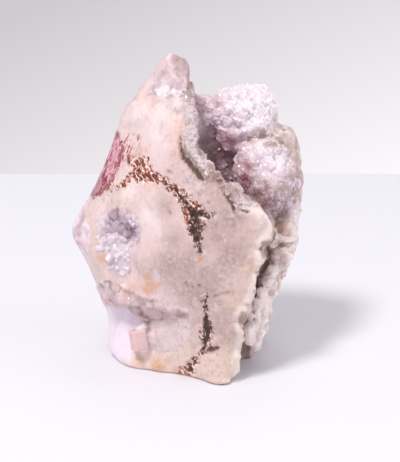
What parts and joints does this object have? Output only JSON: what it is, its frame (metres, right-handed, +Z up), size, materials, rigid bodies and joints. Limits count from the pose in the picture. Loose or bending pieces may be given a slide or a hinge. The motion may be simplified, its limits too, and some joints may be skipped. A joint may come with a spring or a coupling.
{
  "type": "amethyst freeform",
  "caption": "Pale pink amethyst geode lump with a polished front, a druzy-lined hollow holding rounded crystal masses, and a flat cut base that it stands on.",
  "frame": {"origin": "middle of the flat cut base, at the level it stands on", "axes": "+Z up towards the peak, -Y out of the polished front, +X to the viewer's right when facing that front"},
  "size_m": [0.078, 0.0583, 0.1075],
  "materials": {
    "polished_quartz": "polished in front, rough rind behind",
    "lavender_crystal": "glittering druzy crystal faces",
    "clear_crystal": "clear crystal faces"
  },
  "bodies": {
    "root": {"stone": "polished_quartz", "hollow_druzy": "lavender_crystal", "pocket_druzy": "clear_crystal"}
  },
  "joints": []
}
